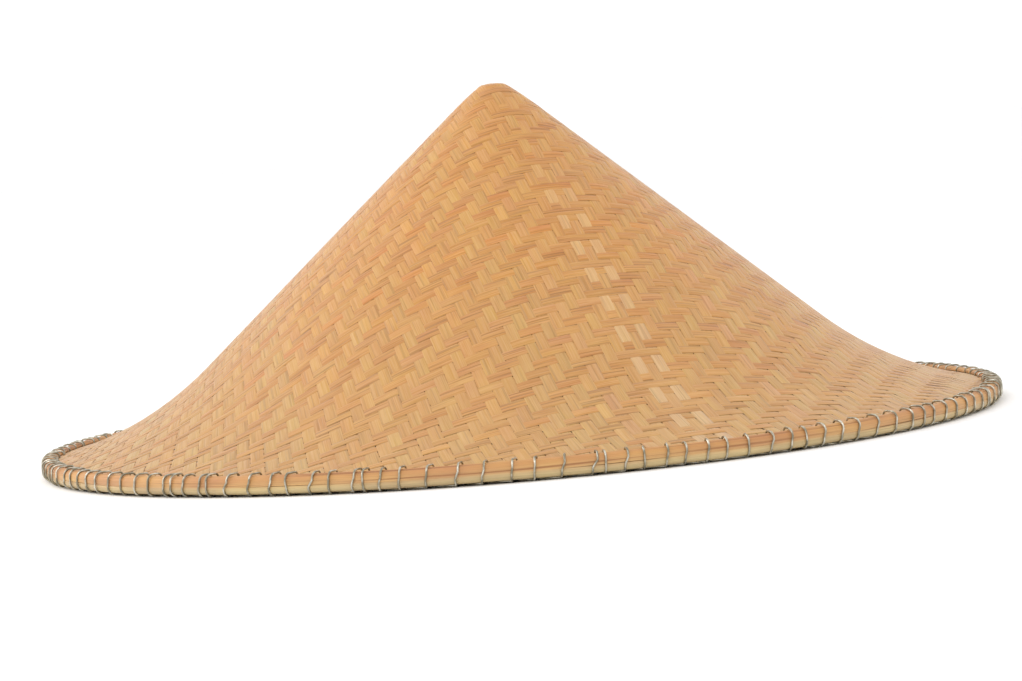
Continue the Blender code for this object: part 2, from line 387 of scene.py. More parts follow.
@dataclass(frozen=True)
class HatProfile:
    """Meridian of the outer surface: the tip's bends, a straight cone and a flare."""

    tip_top: float
    cone_slope: float = math.radians(41.2)
    tip_bends: tuple[tuple[float, float], ...] = (
        (24.0 * MM, math.radians(12.0)),
        (4.0 * MM, math.radians(36.0)),
        (190.0 * MM, math.radians(41.2)),
    )
    flare_start: float = 141.5 * MM
    flare_radius: float = 157.5 * MM

    def stretches(self) -> list[tuple[float, float]]:
        """Length and curvature of each stretch, from the tip down; the last has no end."""
        found, slope, radius = [], 0.0, 0.0
        for bend, end_slope in self.tip_bends:
            found.append((bend * (end_slope - slope), 1 / bend))
            radius += bend * (math.sin(end_slope) - math.sin(slope))
            slope = end_slope
        found.append(((self.flare_start - radius) / math.cos(self.cone_slope), 0.0))
        found.append((math.inf, -1 / self.flare_radius))
        return found

    def section(self, slant: np.ndarray) -> tuple[np.ndarray, np.ndarray, np.ndarray]:
        """Radius, height and slope at distances down the meridian from the tip."""
        radius, slope = np.zeros_like(slant), np.zeros_like(slant)
        height = np.full_like(slant, self.tip_top)
        start = 0.0
        for length, curvature in self.stretches():
            run = np.clip(slant - start, 0.0, length)
            turned = slope + curvature * run
            if curvature:
                radius = radius + (np.sin(turned) - np.sin(slope)) / curvature
                height = height + (np.cos(turned) - np.cos(slope)) / curvature
            else:
                radius = radius + run * np.cos(slope)
                height = height - run * np.sin(slope)
            slope = turned
            start += length
        return radius, height, slope

    def place(self, slant: np.ndarray, azimuth: np.ndarray, rise: np.ndarray) -> np.ndarray:
        """Points at a slant and azimuth, raised square to the surface."""
        radius, height, slope = self.section(slant)
        reach = radius + rise * np.sin(slope)
        level = height + rise * np.cos(slope)
        return round_points(reach, azimuth, level)

    def slant_at(self, radius: float) -> float:
        """Distance down the meridian at which the flare has a radius."""
        flare_axis = self.flare_start + self.flare_radius * math.sin(self.cone_slope)
        slope = math.asin((flare_axis - radius) / self.flare_radius)
        to_flare = sum(length for length, _ in self.stretches()[:-1])
        return to_flare + (self.cone_slope - slope) * self.flare_radius


@dataclass(frozen=True)
class FlatPattern:
    """The flat sheet that closes into the cone, and how the flare stretches it."""

    profile: HatProfile
    share: float = 0.75
    apex_cut: float = 1.15 * MM
    stretch_start: float = 125.0 * MM
    stretch_growth: float = 1.4

    def slant(self, flat: np.ndarray) -> np.ndarray:
        """Distance down the hat of a distance from the apex on the flat sheet."""
        settled = flat ** 2 / (flat + self.apex_cut)
        return settled + self.stretch_growth * np.maximum(settled - self.stretch_start, 0.0) ** 2

    def flat(self, slant: float) -> float:
        """The reverse of slant()."""
        beyond = max(slant - self.stretch_start, 0.0)
        growth = self.stretch_growth
        past_start = (math.sqrt(1 + 4 * growth * beyond) - 1) / (2 * growth)
        settled = min(slant, self.stretch_start) + past_start
        return (settled + math.sqrt(settled ** 2 + 4 * settled * self.apex_cut)) / 2

    def width_stretch(self, flat: np.ndarray, turn: np.ndarray) -> np.ndarray:
        """How much wider than on the sheet a splint's room is on the hat."""
        radius = self.profile.section(self.slant(flat))[0]
        down = 1 + 2 * self.stretch_growth * np.maximum(flat - self.stretch_start, 0.0)
        round_hat = radius / (self.share * np.maximum(flat, MM))
        return np.hypot(down * np.cos(turn), round_hat * np.sin(turn))

    def place(self, reach: np.ndarray, along: np.ndarray, generator: float, edge: float,
              rise: np.ndarray) -> np.ndarray:
        """Points on the hat of points on the sheet.

        Args:
            reach: Distances from the apex square to the splint.
            along: Distances along the splint from the foot of that line.
            generator: Azimuth of that line on the hat.
            edge: The sheet's edge, past which nothing reaches.
            rise: Heights above the hat's surface.

        Returns:
            The points, in the hat's frame.
        """
        flat = np.minimum(np.hypot(reach, along), edge)
        azimuth = generator + np.arctan2(along, reach) / self.share
        return self.profile.place(self.slant(flat), azimuth, rise)


# ---- Outer weave ----------------------------------------------------------------------


@dataclass(frozen=True)
class TwillRule:
    """Which of two crossing sets is on top, by the numbers of the two splints."""

    own_step: int
    next_step: int
    start: int

    def own_over(self, own: np.ndarray, following: np.ndarray) -> np.ndarray:
        """True where a splint of this set passes over one of the next set."""
        return (self.own_step * own + self.next_step * following + self.start) % 4 < 2


@dataclass(frozen=True)
class SplintSet:
    """One of the three sets of splints that fan round the hat."""

    label: str
    first: float
    pitch: float
    width: float
    tone: Colour
    rule: TwillRule


@dataclass
class TwillWeave:
    """The hat's outer layer: three sets of splints in a two-over, two-under twill."""

    pattern: FlatPattern
    edge_radius: float
    first_generator: float = math.radians(291.1)
    thickness: float = 0.27 * MM
    lift: float = 0.125 * MM
    middle_depth: float = 0.40 * MM
    pieces_per_set: int = 4
    seed: int = 41
    section: tuple[tuple[float, float], ...] = (
        (-1.0, 0.0), (-0.84, 0.36), (-0.3, 0.5), (0.3, 0.5),
        (0.84, 0.36), (1.0, 0.0), (0.85, -0.5), (-0.85, -0.5),
    )
    sets: tuple[SplintSet, ...] = (
        # The front set's tone is a little darker and more orange than the other two sets' tone: painted
        # shade, for the light that the crossing sets catch along their fibres.
        SplintSet("front", 2.16 * MM, 4.33 * MM, 4.75 * MM, colour(191, 134, 71), TwillRule(1, 1, -2)),
        SplintSet("right", 1.70 * MM, 4.90 * MM, 5.8 * MM, colour(193, 141, 78), TwillRule(1, -1, -1)),
        SplintSet("left", 2.25 * MM, 4.90 * MM, 5.8 * MM, colour(193, 141, 78), TwillRule(-1, 1, 1)),
    )
    pale_splints: tuple[tuple[int, int], ...] = ((2, 0), (1, 1))
    pale_tone: Colour = colour(202, 156, 101)
    pale_from: float = 45 * MM
    pale_by: float = 100 * MM
    # From fade_start out to the brim the splints turn paler and bluer, by these factors.
    fade_start: float = 110 * MM
    brim_fade: tuple[float, float, float] = (0.94, 1.07, 1.34)
    slit_set: str = "front"
    slit_start: float = 212 * MM
    slit_share: float = 0.16

    def build(self) -> None:
        """Weave all three sets and make them up into pieces."""
        plain = SplintFinish("woven_splint").material()
        lined = SplintFinish("lined_splint", fibre_contrast=0.13, grooves_per_mm=1.2).material()
        edge = self.pattern.flat(self.pattern.profile.slant_at(self.edge_radius))
        for which, splints in enumerate(self.sets):
            rng = np.random.default_rng(self.seed + which)
            stocks = [
                Stock(f"{splints.label}_splints_{piece + 1}", Slot.WOVEN, ("outer_weave", "weave_selvedge"))
                for piece in range(self.pieces_per_set)
            ]
            for number in range(int((edge - splints.first) / splints.pitch) + 1):
                self.add_splint(stocks[number % self.pieces_per_set], which, number, edge, rng)
            for stock in stocks:
                stock.make_up(plain if which else lined)

    def half_splint(self, which: int, number: int, toward: int,
                    reach: float) -> tuple[np.ndarray, np.ndarray]:
        """Stations of one half of a splint, from its middle outward.

        Args:
            which: The splint's set.
            number: Its place in the set, counted from the apex.
            toward: 1 for the half that crosses the next set, -1 for the one before.
            reach: The half's length on the flat sheet.

        Returns:
            Distances along the splint, and +1 where it passes over and -1 under.
        """
        other = (which + toward) % len(self.sets)
        pitch = self.sets[other].pitch
        first = self.sets[other].first - pitch / 3
        steps = np.arange(max(int((reach - first) * 3 / pitch) + 1, 1))
        crossing = steps // 3
        if toward > 0:
            over = self.sets[which].rule.own_over(number, crossing)
        else:
            over = ~self.sets[other].rule.own_over(crossing, number)
        return first + pitch * steps / 3, np.where(over, 1.0, -1.0)

    def add_splint(self, stock: Stock, which: int, number: int, edge: float,
                   rng: np.random.Generator) -> None:
        """Bend one splint over and under its neighbours and add it to a piece's stock."""
        splints = self.sets[which]
        centre = splints.first + number * splints.pitch
        reach = math.sqrt(edge ** 2 - centre ** 2)
        ahead, ahead_side = self.half_splint(which, number, 1, reach)
        behind, behind_side = self.half_splint(which, number, -1, reach)
        along = np.concatenate(([-reach], -behind[::-1], ahead, [reach]))
        side = np.concatenate((behind_side[-1:], behind_side[::-1], ahead_side, ahead_side[-1:]))
        joining = np.minimum(np.roll(side, 1) * side, np.roll(side, -1) * side)
        joining[[0, -1]] = 1.0
        lift = self.lift * side * np.where(joining < 0, 0.86, 1.0)
        lift += 0.015 * MM * wander(rng, along, (31 * MM, 83 * MM))
        drift = 0.08 * MM * wander(rng, along, (47 * MM, 121 * MM, 260 * MM)) + rng.normal(0, 0.04 * MM)
        flat = np.hypot(centre, along)
        turn = np.arctan2(along, centre)
        width = splints.width * rng.normal(1.0, 0.025)
        width = width * (1 + 0.015 * wander(rng, along, (23 * MM, 61 * MM)))
        half = np.minimum(0.5 * width / self.pattern.width_stretch(flat, turn), 0.49 * splints.pitch)
        if splints.label == self.slit_set:
            near_edge = np.clip((flat - self.slit_start) / (edge - self.slit_start), 0.0, 1.0)
            half *= 1 - self.slit_share * near_edge
        sides = np.array(self.section)
        across = half[:, None] * sides[None, :, 0]
        tilt = 0.04 * MM * wander(rng, along, (37 * MM, 90 * MM))[:, None] * sides[None, :, 0]
        rise = lift[:, None] - self.middle_depth + self.thickness * sides[None, :, 1] + tilt
        lengths = np.repeat(along[:, None], len(sides), axis=1)
        generator = self.first_generator + which * FULL_TURN / len(self.sets)
        rings = self.pattern.place(centre + drift[:, None] + across, lengths, generator, edge, rise)
        grain = grain_map(lengths, across, 17.3 * number + 5.1 * which)
        # Paler and bluer towards the brim.
        fade = np.clip((flat - self.fade_start) / (edge - self.fade_start), 0.0, 1.0)[:, None, None]
        brim_paling = 1 + fade * (np.array(self.brim_fade) - 1)
        stock.add_bar(rings, grain, brim_paling * self.tint(which, number, flat, rng))

    def tint(self, which: int, number: int, flat: np.ndarray, rng: np.random.Generator) -> np.ndarray:
        """A splint's own colour along its length, for distances from the apex.

        Its set's tone is made a little lighter, redder or yellower; a pale splint gains its
        colour on the way down the cone.
        """
        light = rng.normal(1.0, 0.024)
        warm = rng.normal(0.0, 0.022)
        rosy = max(rng.normal(-0.4, 1.0), 0.0)
        shift = (light * (1 + 0.3 * warm), light * (1 - warm), light * (1 - 2 * warm + 0.10 * rosy))
        own = np.array(self.sets[which].tone) * shift
        share = np.zeros_like(flat)
        if (which, number) in self.pale_splints:
            share = np.clip((flat - self.pale_from) / (self.pale_by - self.pale_from), 0.0, 1.0)
        return own + share[:, None, None] * (np.array(self.pale_tone) - own)


# ---- Rim ------------------------------------------------------------------------------


def rounded_box(inner: float, outer: float, bottom: tuple[float, float], top: tuple[float, float],
                corners: tuple[float, float, float, float], steps: int) -> np.ndarray:
    """Section points of a rounded box, anticlockwise from its bottom outer corner.

    Args:
        inner: The section's least radius.
        outer: Its greatest radius.
        bottom: Heights of its underside at the inner and the outer face.
        top: Heights of its top at the inner and the outer face.
        corners: Corner radii: bottom outer, top outer, top inner, bottom inner.
        steps: Points on each corner, less one.

    Returns:
        Radius and height pairs.
    """
    places = (
        (outer - corners[0], bottom[1] + corners[0], -90.0),
        (outer - corners[1], top[1] - corners[1], 0.0),
        (inner + corners[2], top[0] - corners[2], 90.0),
        (inner + corners[3], bottom[0] + corners[3], 180.0),
    )
    points = []
    for (radius, height, start), corner in zip(places, corners):
        for step in range(steps + 1):
            angle = math.radians(start + 90.0 * step / steps)
            points.append((radius + corner * math.cos(angle), height + corner * math.sin(angle)))
    return np.array(points)


@dataclass
class RimHoop:
    """A split pole bent round the rim, its thinned ends lapped over each other."""

    name: str
    node: str
    slot: Slot
    tone: Colour
    edge_tone: Colour
    finish: HoopFinish
    bottom: tuple[float, float]
    top: tuple[float, float]
    corners: tuple[float, float, float, float]
    lap_azimuth: float
    knuckles: tuple[float, ...]
    seed: int
    pure_end: float = 0.0
    lap: float = math.radians(17)
    thinning: float = 0.80
    knuckle_height: float = 0.35 * MM
    knuckle_length: float = 2.2 * MM
    stations: int = 620
    corner_steps: int = 5

    def build(self, inner: float, outer: float) -> None:
        """Bend the hoop to fit between two radii and make it up."""
        rng = np.random.default_rng(self.seed)
        angle = np.linspace(-self.lap / 2, FULL_TURN + self.lap / 2, self.stations)
        azimuth = self.lap_azimuth + angle
        width = outer - inner
        unit = rounded_box(0.0, width, self.bottom, self.top, self.corners, self.corner_steps)
        from_start = np.clip((angle + self.lap / 2) / self.lap, 0.0, 1.0)
        from_end = np.clip((FULL_TURN + self.lap / 2 - angle) / self.lap, 0.0, 1.0)
        inside = self.thinning * (1 - from_start)
        outside = 1 - self.thinning * (1 - from_end)
        length = angle * outer
        wave = 0.10 * MM * wander(rng, length, (93 * MM, 210 * MM, 57 * MM))
        lean = 0.12 * MM * wander(rng, length, (131 * MM, 71 * MM))
        swell = self.swelling(azimuth, outer)
        share = unit[:, 0] / width
        spread = inside[:, None] + share[None, :] * (outside - inside)[:, None]
        radius = inner + width * spread + (wave + swell)[:, None] * share[None, :]
        height = unit[None, :, 1] + lean[:, None] * share[None, :]
        rings = round_points(radius, azimuth[:, None], height)
        outline = np.cumsum(np.hypot(*np.diff(unit, axis=0, prepend=unit[-1:]).T))
        grain = grain_map(length[:, None], outline[None, :], self.seed)
        rise = (unit[:, 1] - unit[:, 1].min()) / np.ptp(unit[:, 1])
        blend = np.clip(1.9 * np.abs(rise - self.pure_end) - 0.6, 0.0, 1.0)[None, :, None]
        tones = np.array(self.tone) * (1 - blend) + np.array(self.edge_tone) * blend
        stock = Stock(self.name, self.slot, (self.node,))
        stock.add_bar(rings, grain, tones)
        stock.make_up(self.finish.material())

    def swelling(self, azimuth: np.ndarray, outer: float) -> np.ndarray:
        """How far the pole's knuckles stand out."""
        total = np.zeros_like(azimuth)
        for knuckle in self.knuckles:
            gap = (azimuth - math.radians(knuckle) + math.pi) % FULL_TURN - math.pi
            total += self.knuckle_height * np.exp(-((gap * outer / self.knuckle_length) ** 2))
        return total


@dataclass
class RimWire:
    """One length of wire that whips the two hoops together, turn after turn."""

    number: int
    hoop_inner: float
    hoop_outer: float
    bottom: float
    top: float
    radius: float = 0.43 * MM
    turns: int = 25
    sides: int = 10
    outer_corner: float = 3.0 * MM
    inner_corner: float = 1.8 * MM
    corner_steps: int = 5
    lengths: int = 6
    close_turns: int = 2

    def turn_points(self, start: float, advance: float,
                    rng: np.random.Generator) -> list[tuple[float, ...]]:
        """Points of one turn as radius, height and azimuth, from its bottom outer corner.

        Args:
            start: Azimuth at which the turn starts.
            advance: How far round the rim it takes the wire.
            rng: Source of its small irregularities.

        Returns:
            The points in order.
        """
        inner = self.hoop_inner - self.radius - rng.uniform(0.2, 1.8) * MM
        outer = self.hoop_outer + self.radius + rng.uniform(0.0, 0.25) * MM
        bottom = self.bottom + rng.uniform(0.0, 0.25) * MM
        top = self.top + rng.uniform(-0.10, 0.20) * MM
        slant = rng.normal(0.05, 0.045)
        wide, tight = self.outer_corner, self.inner_corner
        corners = (
            (outer - wide, bottom + wide, wide, -90.0, 0.72),
            (outer - wide, top - wide, wide, 0.0, 0.76 + slant),
            (inner + tight, top - tight, tight, 90.0, 0.92),
            (inner + tight, bottom + tight, tight, 180.0, 0.96),
        )
        points = []
        for place_r, place_z, corner, first, share in corners:
            for step in range(self.corner_steps + 1):
                angle = math.radians(first + 90.0 * step / self.corner_steps)
                moved = start + advance * (share + 0.02 * step / self.corner_steps)
                radius = place_r + corner * math.cos(angle)
                points.append((radius, place_z + corner * math.sin(angle), moved))
        return points

    def route(self) -> np.ndarray:
        """The wire's centre line through all its turns."""
        rng = np.random.default_rng(700 + self.number)
        room = FULL_TURN / self.lengths
        gaps = rng.uniform(0.72, 1.28, self.turns)
        doubled = rng.choice(np.arange(2, self.turns - 2), self.close_turns, replace=False)
        gaps[doubled] = 0.26
        gaps *= room / gaps.sum()
        starts = (self.number - 1) * room + np.concatenate(([0.0], np.cumsum(gaps)[:-1]))
        points = []
        for start, advance in zip(starts, gaps):
            points += self.turn_points(start, advance, rng)
        radius, height, azimuth = np.array(points).T
        return round_points(radius, azimuth, height)

    def build(self, material: bpy.types.Material) -> None:
        """Bend the wire and make it up."""
        stock = Stock(f"rim_wire_turns_{self.number}", Slot.WIRE, (f"rim_wire_{self.number}",))
        add_round_wire(stock, self.route(), self.radius, self.sides, float(self.number))
        stock.make_up(material)


def add_round_wire(stock: Stock, route: np.ndarray, radius: float, sides: int, number: float) -> None:
    """Sweep a round wire along a route without twisting it.

    Args:
        stock: The stock to add it to.
        route: The wire's centre line.
        radius: Half its thickness.
        sides: Facets round it.
        number: Sets its grain apart from other wires.
    """
    tangent = np.gradient(route, axis=0)
    tangent /= np.linalg.norm(tangent, axis=1)[:, None]
    side = np.cross(tangent[0], (0.0, 0.0, 1.0))
    if np.linalg.norm(side) < 0.1:
        side = np.cross(tangent[0], (1.0, 0.0, 0.0))
    sides_along = []
    for direction in tangent:
        side = side - direction * np.dot(side, direction)
        side = side / np.linalg.norm(side)
        sides_along.append(side)
    first = np.array(sides_along)
    second = np.cross(tangent, first)
    angles = np.arange(sides) * FULL_TURN / sides
    cosines, sines = np.cos(angles)[None, :, None], np.sin(angles)[None, :, None]
    rings = route[:, None, :] + radius * (first[:, None, :] * cosines + second[:, None, :] * sines)
    steps = np.linalg.norm(np.diff(route, axis=0), axis=1)
    length = np.concatenate(([0.0], np.cumsum(steps)))
    across = (radius * np.cos(angles))[None, :]
    grain = grain_map(length[:, None], across, 9.7 * number + across / MM)
    stock.add_bar(rings, grain, (0.5, 0.5, 0.45))


# ---- Inside ---------------------------------------------------------------------------


@dataclass
class LeafLining:
    """Overlapping dried leaves laid tip to brim under the weave, over a thin backing leaf."""

    profile: HatProfile
    edge_slant: float
    backing_depth: float = 1.20 * MM
    leaf_depth: float = 1.42 * MM
    thickness: float = 0.08 * MM
    backing_sides: int = 144
    grain_radius: float = 90.0 * MM
    leaf_stations: int = 26
    leaf_points: int = 9
    tone: Colour = colour(150, 122, 74)
    # Partly the backing leaf's own brown and partly painted shade for the dark seen through the splints'
    # gaps.
    backing_and_gap_shade_tone: Colour = colour(98, 61, 34)
    seed: int = 19
    # of each row: leaves, slant of their first and last ends, width
    rows: tuple[tuple[int, float, float, float], ...] = (
        (13, 0.004, 0.150, 0.058),
        (26, 0.085, 0.235, 0.062),
        (34, 0.150, 0.268, 0.060),
    )

    def build(self) -> None:
        """Lay the backing and the rows of leaves."""
        finish = LeafFinish("dried_bamboo_leaf").material()
        backing = Stock("leaf_backing", Slot.LEAF, ("leaf_lining",))
        self.add_backing(backing)
        backing.make_up(finish)
        leaves = Stock("lining_leaves", Slot.LEAF, ("leaf_lining",))
        rng = np.random.default_rng(self.seed)
        for row, (count, first, last, width) in enumerate(self.rows):
            for number in range(count):
                azimuth = (number + 0.4 * row + rng.uniform(-0.15, 0.15)) * FULL_TURN / count
                self.add_leaf(leaves, azimuth, first, min(last, self.edge_slant), width, row, number, rng)
        leaves.make_up(finish)

    def add_backing(self, stock: Stock) -> None:
        """A closed thin cone just under the splints, seen as the dark behind their gaps; its dark brown is
        partly the leaf's own colour and partly painted shade for those gaps.
        """
        near_tip = np.linspace(0.5 * MM, 16 * MM, 8)
        slant = np.concatenate((near_tip, np.linspace(24 * MM, self.edge_slant, 40)))
        ring = np.linspace(0, FULL_TURN, self.backing_sides + 1)[:-1, None]
        there = np.concatenate((slant, slant[::-1]))[None, :]
        depth = np.repeat((self.backing_depth, self.backing_depth + self.thickness), slant.size)
        rings = self.profile.place(there, ring, -depth[None, :])
        grain = grain_map(there, ring * self.grain_radius, 1.0)
        stock.add_bar(rings, grain, self.backing_and_gap_shade_tone, looped=True)

    def add_leaf(self, stock: Stock, azimuth: float, first: float, last: float, width: float, row: int,
                 number: int, rng: np.random.Generator) -> None:
        """One long pointed leaf, creased a little along its midrib."""
        share = np.linspace(0.0, 1.0, self.leaf_stations)
        slant = first + (last - first) * share
        shape = np.clip(np.sin(math.pi * (0.06 + 0.90 * share)) ** 0.62, 0.05, 1.0)
        half = 0.5 * width * rng.normal(1.0, 0.06) * shape
        across_share = np.linspace(-1.0, 1.0, self.leaf_points)
        across_share = np.concatenate((across_share, across_share[::-1]))
        underside = np.repeat((0.0, 1.0), self.leaf_points)
        radius = self.profile.section(slant)[0]
        across = half[:, None] * across_share[None, :]
        bend = 3.0 * MM * wander(rng, slant, (160 * MM, 310 * MM))
        turned = (across + bend[:, None]) / np.maximum(radius, 3 * MM)[:, None]
        angle = azimuth + np.clip(turned, -1.2, 1.2)
        shingle = 0.06 * MM * across_share[None, :] + 0.03 * MM * np.cos(math.pi * across_share)[None, :]
        ripple = 0.04 * MM * wander(rng, slant, (17 * MM, 41 * MM))[:, None] * across_share[None, :]
        level = -(self.leaf_depth + 0.09 * MM * (number % 2) + 0.05 * MM * row)
        rise = level + shingle + ripple - self.thickness * underside[None, :]
        rings = self.profile.place(slant[:, None], angle, rise)
        grain = grain_map(slant[:, None], across, 3.7 * number + 40 * row)
        light = rng.normal(1.0, 0.14)
        green_cast = rng.normal(1.0, 0.05)
        stock.add_bar(rings, grain, np.array(self.tone) * light * (1.0, green_cast, 1.0))


@dataclass
class Openwork:
    """The open net inside: thin splints in five directions, laced over and under."""

    profile: HatProfile
    edge_slant: float
    directions: int = 5
    wedge: float = math.radians(60)
    pitch: float = 24.0 * MM
    width: float = 4.5 * MM
    thickness: float = 0.42 * MM
    lift: float = 0.24 * MM
    middle_depth: float = 2.45 * MM
    step: float = 2.2 * MM
    stretch_growth: float = 0.6
    first_generator: float = math.radians(36)
    tone: Colour = colour(206, 176, 122)
    seed: int = 23
    section: tuple[tuple[float, float], ...] = (
        (-1.0, -0.5), (-1.0, 0.3), (-0.8, 0.5), (0.8, 0.5), (1.0, 0.3), (1.0, -0.5),
    )

    def build(self) -> None:
        """Lace the net and make it up."""
        rng = np.random.default_rng(self.seed)
        share = self.directions * self.wedge / FULL_TURN
        pattern = FlatPattern(self.profile, share=share, stretch_growth=self.stretch_growth)
        edge = pattern.flat(self.edge_slant)
        stock = Stock("openwork_net", Slot.PLAIN, ("inner_openwork",))
        for which in range(self.directions):
            for number in range(int(edge / self.pitch)):
                self.add_splint(stock, pattern, which, number, edge, rng)
        stock.make_up(SplintFinish("net_splint", fibre_contrast=0.13).material())

    def crossings(self, centre: float, reach: float) -> list[tuple[float, float]]:
        """Places along a splint where it meets others, with +1 where it passes over.

        Args:
            centre: The splint's distance from the apex.
            reach: Half its length.

        Returns:
            Distances along the splint with the side that it takes, in order.
        """
        found = []
        for steps_away in (-2, -1, 1, 2):
            between = steps_away * self.wedge
            over = steps_away in (1, -2)
            for number in range(int(reach / self.pitch) + 4):
                other = (number + 0.5) * self.pitch
                along = (other - centre * math.cos(between)) / math.sin(between)
                if abs(along) < reach and abs(math.atan2(along, centre) - between) < math.pi / 2:
                    found.append((along, 1.0 if over else -1.0))
        return sorted(found)

    def add_splint(self, stock: Stock, pattern: FlatPattern, which: int, number: int, edge: float,
                   rng: np.random.Generator) -> None:
        """Bend one splint of the net over and under the others and add it."""
        centre = (number + 0.5) * self.pitch + rng.normal(0, 0.4 * MM)
        reach = math.sqrt(max(edge ** 2 - centre ** 2, 0.0))
        if reach < 3 * self.step:
            return
        along = np.linspace(-reach, reach, int(2 * reach / self.step) + 2)
        places = self.crossings(centre, reach)
        if len(places) > 1:
            where, side = np.array(places).T
            lift = self.lift * np.interp(along, where, side)
        else:
            lift = np.zeros_like(along)
        stretch = pattern.width_stretch(np.hypot(centre, along), np.arctan2(along, centre))
        half = 0.5 * self.width / stretch
        sides = np.array(self.section)
        across = half[:, None] * sides[None, :, 0]
        rise = -self.middle_depth + lift[:, None] + self.thickness * sides[None, :, 1]
        lengths = np.repeat(along[:, None], len(sides), axis=1)
        generator = self.first_generator + which * FULL_TURN / self.directions
        rings = pattern.place(centre + across, lengths, generator, edge, rise)
        grain = grain_map(lengths, across, 11.0 * number + 70 * which)
        light = rng.normal(1.0, 0.08)
        blue_cast = rng.normal(1.0, 0.05)
        stock.add_bar(rings, grain, np.array(self.tone) * light * (1.0, 1.0, blue_cast))


@dataclass
class HeadBand:
    """A wide thin splint bent into a ring, bound top and bottom, that rests on the head."""

    inner: float
    outer: float
    bottom: float
    top: float
    lap: float = math.radians(38)
    lap_azimuth: float = math.radians(75)
    thinning: float = 0.52
    bow: float = 0.12 * MM
    whipping_turns: int = 46
    whipping_gap: float = 0.35 * MM
    whipping_half_width: float = 1.3 * MM
    whipping_half_thickness: float = 0.14 * MM
    stations: int = 240
    seed: int = 31

    def build(self) -> None:
        """Bend the band and its two binding hoops."""
        finish = SplintFinish("band_splint", fibre_contrast=0.12, groove_depth=0.07 * MM).material()
        self.add_band(finish)
        hoop_finish = HoopFinish("binding_skin", colour(120, 96, 58), 0.35, 0.42).material()
        for label, node in (("top", "head_band_top_hoop"), ("bottom", "head_band_bottom_hoop")):
            low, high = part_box(node)
            self.add_binding(label, node, low.z, high.z, high.x, hoop_finish)

    def add_band(self, finish: bpy.types.Material) -> None:
        """The band itself, its ends thinned and lapped."""
        rng = np.random.default_rng(self.seed)
        angle = np.linspace(0.0, FULL_TURN + self.lap, self.stations)
        wide = self.outer - self.inner
        share = np.clip(angle / self.lap, 0.0, 1.0)
        share_end = np.clip((FULL_TURN + self.lap - angle) / self.lap, 0.0, 1.0)
        inner = self.inner + self.thinning * wide * (1 - share)
        outer = self.outer - self.thinning * wide * (1 - share_end)
        rows = np.linspace(self.bottom, self.top, 15)
        bow = self.bow * np.cos(np.linspace(-math.pi / 2, math.pi / 2, rows.size))
        heights = np.concatenate((rows, rows[::-1]))
        bows = np.concatenate((bow, bow[::-1]))
        is_outer = np.repeat((1.0, 0.0), rows.size)
        radius = inner[:, None] + (outer - inner)[:, None] * is_outer[None, :] - bows[None, :]
        radius = radius + 0.10 * MM * wander(rng, angle * self.inner, (70 * MM, 190 * MM))[:, None]
        rings = round_points(radius, (self.lap_azimuth + angle)[:, None], heights[None, :])
        grain = grain_map((angle * self.outer)[:, None], heights[None, :], is_outer[None, :] * 30.0)
        stock = Stock("head_band_splint", Slot.PLAIN, ("head_band",))
        stock.add_bar(rings, grain, colour(214, 184, 128))
        stock.make_up(finish)

    def add_binding(self, label: str, node: str, bottom: float, top: float, outer: float,
                    finish: bpy.types.Material) -> None:
        """A binding hoop whipped to the band with a narrow winding splint."""
        inner = self.outer + 0.1 * MM
        section = rounded_box(0.0, outer - inner, (bottom, bottom), (top, top), (0.8 * MM,) * 4, 4)
        angle = np.linspace(0.0, FULL_TURN, 241)[:-1]
        radius, level = section.T[:, None, :]
        rings = round_points(inner + radius, angle[:, None], level)
        grain = grain_map((angle * outer)[:, None], level, 3.0)
        stock = Stock(f"head_band_{label}_binding", Slot.SKIN, (node,))
        stock.add_bar(rings, grain, colour(186, 164, 104), looped=True)
        stock.make_up(finish)
        self.add_whipping(label, node, bottom, top, outer)

    def add_whipping(self, label: str, node: str, bottom: float, top: float, outer: float) -> None:
        """The narrow splint that winds round the band's edge and its binding hoop."""
        turns, gap = self.whipping_turns, self.whipping_gap
        inner = self.inner - gap
        loop = rounded_box(inner, outer + gap, (bottom - gap,) * 2, (top + gap,) * 2, (0.9 * MM,) * 4, 4)
        count = turns * loop.shape[0]
        azimuth = np.arange(count) / count * FULL_TURN
        around = np.tile(loop, (turns, 1))
        route = round_points(around[:, 0], azimuth, around[:, 1])
        tangent = np.tile(np.roll(loop, -1, axis=0) - np.roll(loop, 1, axis=0), (turns, 1))
        tangent /= np.linalg.norm(tangent, axis=1)[:, None]
        normal = round_points(tangent[:, 1], azimuth, -tangent[:, 0])
        side = np.stack((-np.sin(azimuth), np.cos(azimuth), np.zeros(count)), axis=-1)
        half_width, half_thick = self.whipping_half_width, self.whipping_half_thickness
        corners = ((-1, -1), (1, -1), (1, 0.4), (0.7, 1), (-0.7, 1), (-1, 0.4))
        rings = np.stack(
            [route + side * half_width * x + normal * half_thick * y for x, y in corners], axis=1
        )
        along = np.arange(count)[:, None] * 0.8 * MM
        grain = grain_map(along, half_width * np.array(corners)[None, :, 0], 8.0)
        stock = Stock(f"head_band_{label}_whipping", Slot.PLAIN, (node,))
        stock.add_bar(rings, grain, colour(200, 160, 100), looped=True)
        stock.make_up(SplintFinish(f"{label}_whipping_splint").material())


